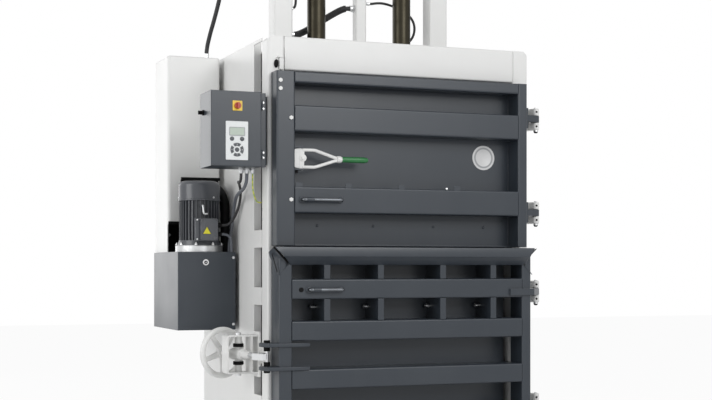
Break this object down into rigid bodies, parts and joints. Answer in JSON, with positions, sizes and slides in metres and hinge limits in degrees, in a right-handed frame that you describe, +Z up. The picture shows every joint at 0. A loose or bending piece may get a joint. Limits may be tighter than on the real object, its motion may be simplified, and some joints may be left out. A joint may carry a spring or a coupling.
{
  "type": "recycling baler",
  "caption": "Vertical baling press with upper feed door, lower bale door, twin-rod ram and side power unit.",
  "frame": {"origin": "on the floor under the middle of the machine frame, in the plane of the piston rods", "axes": "+X to the right seen from the doors, +Y to the back, +Z up"},
  "size_m": [1.733, 1.357, 3.248],
  "materials": {
    "white_paint": "satin paint",
    "anthracite_paint": "satin paint",
    "grey_plate": "worn satin paint",
    "motor_paint": "satin paint",
    "zinc_steel": "zinc plated",
    "rod_chrome": "polished",
    "barrel_paint": "satin paint",
    "hose_rubber": "matt",
    "conduit_grey": "matt",
    "wire_green_yellow": "matt",
    "grip_green": "moulded",
    "switch_yellow": "gloss",
    "switch_red": "gloss",
    "keypad_grey": "matt",
    "key_dark": "matt",
    "display_green": "gloss"
  },
  "bodies": {
    "frame": {"base_frame": "white_paint", "corner_posts": "white_paint", "side_wall_left": "white_paint", "side_wall_right": "white_paint", "rear_wall": "white_paint", "chamber_liner": "grey_plate", "header_beam": "white_paint", "top_frame": "white_paint", "portal": "white_paint", "piston_rods": "rod_chrome", "frame_fasteners": "zinc_steel", "hinge_lugs": "white_paint", "lock_bracket": "white_paint", "control_box": "anthracite_paint", "power_cabinet": "anthracite_paint", "cabinet_cover": "anthracite_paint", "hood": "white_paint", "motor_body": "motor_paint", "motor_cowl": "motor_paint", "terminal_box": "motor_paint", "cable_fittings": "zinc_steel", "hose_crossover": "hose_rubber", "hose_feed": "hose_rubber", "hose_loop": "hose_rubber", "hose_supply": "hose_rubber", "control_conduit": "conduit_grey", "motor_cable": "hose_rubber", "earth_wire": "wire_green_yellow"},
    "upper_door": {"upper_door_skin": "anthracite_paint", "upper_door_frame": "anthracite_paint", "upper_door_handle": "anthracite_paint", "upper_door_bolts": "white_paint"},
    "latch_lever": {"latch_fork": "white_paint", "latch_grip": "grip_green"},
    "lower_door": {"lower_door_frame": "anthracite_paint", "lower_door_skin": "anthracite_paint", "lower_door_liner": "grey_plate", "feed_lip": "anthracite_paint", "lower_door_handle": "anthracite_paint", "door_lugs": "anthracite_paint", "lower_door_pins": "zinc_steel"},
    "claw_1": {"retaining_claw_1": "zinc_steel"},
    "claw_2": {"retaining_claw_2": "zinc_steel"},
    "claw_3": {"retaining_claw_3": "zinc_steel"},
    "claw_4": {"retaining_claw_4": "zinc_steel"},
    "ram": {"ram": "grey_plate", "cylinder_barrels": "barrel_paint"},
    "lock_nut": {"lock_nut": "white_paint"},
    "lock_screw": {"lock_spindle": "zinc_steel"},
    "handwheel": {"handwheel": "white_paint"},
    "control_lid": {"control_door": "anthracite_paint", "switch_plate": "switch_yellow", "keypad_panel": "keypad_grey", "keypad_display": "display_green", "keypad_keys": "key_dark"},
    "main_switch": {"switch_knob": "switch_red"},
    "side_key": {"side_lock": "zinc_steel"},
    "cabinet_key": {"cabinet_lock": "zinc_steel"},
    "motor_rotor": {"motor_rotor": "zinc_steel"}
  },
  "joints": [
    {"name": "upper_door_hinge", "type": "hinge", "parent": "frame", "child": "upper_door", "pos_m": [0.716, -0.602, 1.62], "axis": [0, 0, 1], "range_deg": [0, 160]},
    {"name": "latch_lever_hinge", "type": "hinge", "parent": "upper_door", "child": "latch_lever", "pos_m": [-0.548, -0.63, 1.622], "axis": [0, 0, -1], "range_deg": [0, 100]},
    {"name": "lower_door_hinge", "type": "hinge", "parent": "frame", "child": "lower_door", "pos_m": [0.716, -0.602, 0.7], "axis": [0, 0, 1], "range_deg": [0, 160]},
    {"name": "claw_1_pivot", "type": "hinge", "parent": "lower_door", "child": "claw_1", "pos_m": [-0.433, -0.555, 0.925], "axis": [-1, 0, 0], "range_deg": [0, 38], "stiffness_Nm_per_rad": 3, "springref_deg": -25.78},
    {"name": "claw_2_pivot", "type": "hinge", "parent": "lower_door", "child": "claw_2", "pos_m": [-0.162, -0.555, 0.925], "axis": [-1, 0, 0], "range_deg": [0, 38], "stiffness_Nm_per_rad": 3, "springref_deg": -25.78},
    {"name": "claw_3_pivot", "type": "hinge", "parent": "lower_door", "child": "claw_3", "pos_m": [0.162, -0.555, 0.925], "axis": [-1, 0, 0], "range_deg": [0, 38], "stiffness_Nm_per_rad": 3, "springref_deg": -25.78},
    {"name": "claw_4_pivot", "type": "hinge", "parent": "lower_door", "child": "claw_4", "pos_m": [0.433, -0.555, 0.925], "axis": [-1, 0, 0], "range_deg": [0, 38], "stiffness_Nm_per_rad": 3, "springref_deg": -25.78},
    {"name": "ram_slide", "type": "slide", "parent": "frame", "child": "ram", "axis": [0, 0, 1], "range_m": [0, 0.95]},
    {"name": "lock_swing", "type": "hinge", "parent": "frame", "child": "lock_nut", "pos_m": [-0.778, -0.4, 0.7], "axis": [0, 0, 1], "range_deg": [0, 5.2]},
    {"name": "handwheel_turn", "type": "hinge", "parent": "lock_nut", "child": "handwheel", "pos_m": [-0.81875, -0.26502, 0.7], "axis": [0.289, -0.9573, 0], "range_deg": [-480, 360]},
    {"name": "lock_draw", "type": "slide", "parent": "lock_nut", "child": "lock_screw", "axis": [0.289, -0.9573, 0], "range_m": [-0.00601, 0.00801]},
    {"name": "control_lid_hinge", "type": "hinge", "parent": "frame", "child": "control_lid", "pos_m": [-0.725, -0.6075, 1.75], "axis": [0, 0, 1], "range_deg": [0, 110]},
    {"name": "main_switch_turn", "type": "hinge", "parent": "control_lid", "child": "main_switch", "pos_m": [-0.845, -0.62, 1.857], "axis": [0, -1, 0], "range_deg": [0, 90]},
    {"name": "side_key_turn", "type": "hinge", "parent": "frame", "child": "side_key", "pos_m": [-0.97, -0.48, 1.833], "axis": [-1, 0, 0], "range_deg": [0, 90]},
    {"name": "cabinet_key_turn", "type": "hinge", "parent": "frame", "child": "cabinet_key", "pos_m": [-0.86, -0.11, 1.138], "axis": [0, -1, 0], "range_deg": [0, 90]},
    {"name": "motor_spin", "type": "hinge", "parent": "frame", "child": "motor_rotor", "pos_m": [-0.855, 0.035, 1.3], "axis": [0, 0, 1], "continuous": true}
  ],
  "couplings": [
    {"joint": "lock_draw", "follows": "handwheel_turn", "m_per_rad": -0.00095493}
  ]
}
